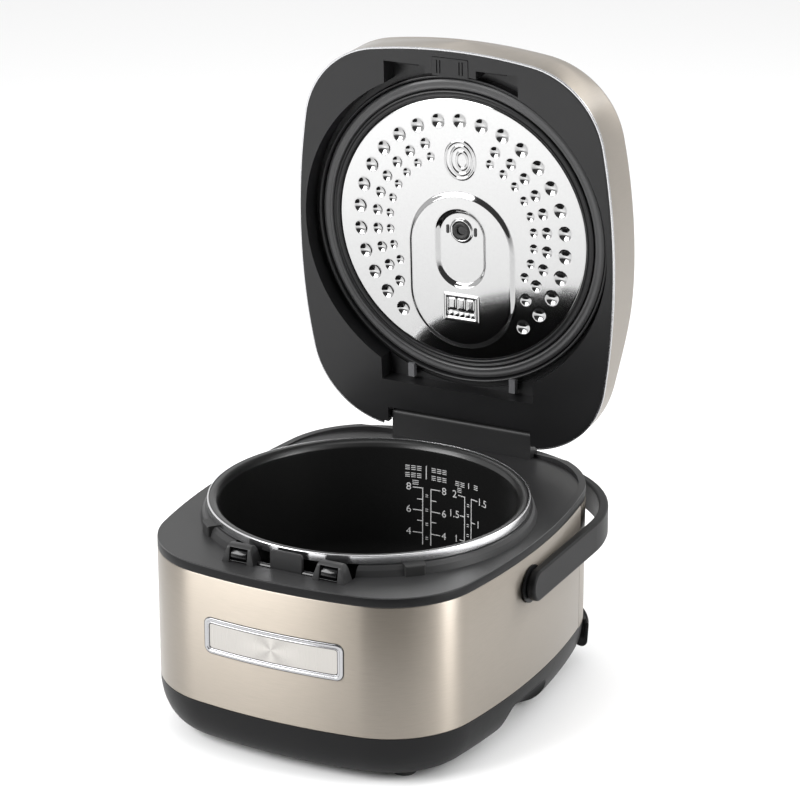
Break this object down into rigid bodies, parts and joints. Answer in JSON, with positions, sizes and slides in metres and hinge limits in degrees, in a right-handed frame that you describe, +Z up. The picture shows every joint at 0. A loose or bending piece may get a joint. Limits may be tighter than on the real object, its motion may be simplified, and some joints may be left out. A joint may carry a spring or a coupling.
{
  "type": "rice cooker",
  "caption": "Countertop rice cooker with a hinged lid held open, a lift-out pot, a removable inner lid and a folding carrying handle.",
  "frame": {"origin": "on the table under the middle of the cooker's overall box, lid open and handle folded back", "axes": "+Z up, -Y to the front with the control window, +X to the right seen from the front"},
  "size_m": [0.282, 0.3427, 0.465],
  "materials": {
    "champagne_metal": "satin champagne lacquer on sheet metal",
    "champagne_cover": "satin champagne lacquer",
    "black_plastic": "fine-textured black",
    "deck_plastic": "smooth satin black",
    "lid_plastic": "smooth satin black",
    "handle_plastic": "satin black",
    "gloss_black": "polished black",
    "chrome_trim": "bright chrome",
    "window_plate": "radially brushed champagne",
    "silver_ring": "satin silver",
    "rim_steel": "polished",
    "nonstick": "black non-stick coating with printed scale",
    "polished_steel": "polished, embossed",
    "grey_rubber": "satin grey silicone",
    "black_rubber": "matte",
    "grey_plastic": "satin grey",
    "spring_steel": "bright wire",
    "copper": "enamelled copper winding",
    "ferrite": "sintered ferrite",
    "bowl_plastic": "heat-resistant black",
    "board_green": "circuit board",
    "aluminium": "bare",
    "steel_pin": "ground",
    "fan_plastic": "moulded black"
  },
  "bodies": {
    "cooker_body": {"base_tub": "black_plastic", "base_screws": "steel_pin", "rubber_feet": "black_rubber", "body_shell": "champagne_metal", "rear_cover": "champagne_cover", "power_inlet": "black_plastic", "inlet_pins": "steel_pin", "panel_bezel": "chrome_trim", "panel_plate": "window_plate", "display_board": "board_green", "top_deck": "deck_plastic", "pot_rests": "black_rubber", "latch_pin": "steel_pin", "latch_springs": "spring_steel", "hinge_cover": "deck_plastic", "hinge_pin": "steel_pin", "hinge_springs": "spring_steel", "coil_bowl": "bowl_plastic", "induction_coil": "copper", "ferrite_bars": "ferrite", "coil_support": "bowl_plastic", "sensor_spring": "spring_steel", "power_board": "board_green", "heatsink": "aluminium", "fan_frame": "fan_plastic", "handle_bosses": "black_plastic", "corner_hook": "black_plastic"},
    "latch": {"latch_bar": "gloss_black"},
    "sensor": {"centre_sensor": "aluminium"},
    "fan": {"fan_rotor": "fan_plastic"},
    "pot": {"inner_pot": "nonstick"},
    "handle": {"carry_handle": "handle_plastic"},
    "lid": {"lid_shell": "champagne_metal", "lid_trim_ring": "silver_ring", "lid_inner_cover": "lid_plastic", "lid_catches": "black_plastic", "lid_heater": "aluminium", "steam_duct": "bowl_plastic", "button_springs": "spring_steel"},
    "steam_outlet": {"steam_cap": "gloss_black"},
    "lid_button": {"open_button": "gloss_black"},
    "release_button": {"inner_lid_button": "lid_plastic"},
    "inner_lid": {"inner_lid_plate": "polished_steel", "inner_lid_frame": "lid_plastic", "seal_ring": "grey_rubber", "inner_lid_lugs": "grey_plastic", "vent_grommet": "black_rubber"}
  },
  "joints": [
    {"name": "lid_hinge", "type": "hinge", "parent": "cooker_body", "child": "lid", "pos_m": [0, 0.13535, 0.1615], "axis": [-1, 0, 0], "range_deg": [-87, 0], "stiffness_Nm_per_rad": 0.6, "springref_deg": 34.38},
    {"name": "handle_pivot", "type": "hinge", "parent": "cooker_body", "child": "handle", "pos_m": [0, -0.02675, 0.116], "axis": [1, 0, 0], "range_deg": [0, 12]},
    {"name": "pot_lift", "type": "slide", "parent": "cooker_body", "child": "pot", "axis": [0, 0, 1], "range_m": [0, 0.13]},
    {"name": "latch_release", "type": "hinge", "parent": "cooker_body", "child": "latch", "pos_m": [0, -0.14475, 0.1436], "axis": [-1, 0, 0], "range_deg": [0, 5], "stiffness_Nm_per_rad": 0.5, "springref_deg": -8.59},
    {"name": "sensor_press", "type": "slide", "parent": "cooker_body", "child": "sensor", "axis": [0, 0, 1], "range_m": [-0.003, 0], "stiffness_N_per_m": 400, "springref_m": 0.003, "deforming": ["sensor_spring"]},
    {"name": "fan_spin", "type": "hinge", "parent": "cooker_body", "child": "fan", "pos_m": [0.06, 0.06025, 0.015], "axis": [0, 0, 1], "continuous": true},
    {"name": "steam_cap_lift", "type": "slide", "parent": "lid", "child": "steam_outlet", "axis": [0, 0.9986, 0.0523], "range_m": [0, 0.022]},
    {"name": "open_button_press", "type": "slide", "parent": "lid", "child": "lid_button", "axis": [0, -0.9986, -0.0523], "range_m": [0, 0.0025], "stiffness_N_per_m": 500, "springref_m": -0.002},
    {"name": "release_button_press", "type": "slide", "parent": "lid", "child": "release_button", "axis": [0, 0.9986, 0.0523], "range_m": [0, 0.002], "stiffness_N_per_m": 400, "springref_m": -0.002},
    {"name": "inner_lid_tilt", "type": "hinge", "parent": "lid", "child": "inner_lid", "pos_m": [0, 0.1322, 0.20249], "axis": [1, 0, 0], "range_deg": [0, 7]}
  ]
}
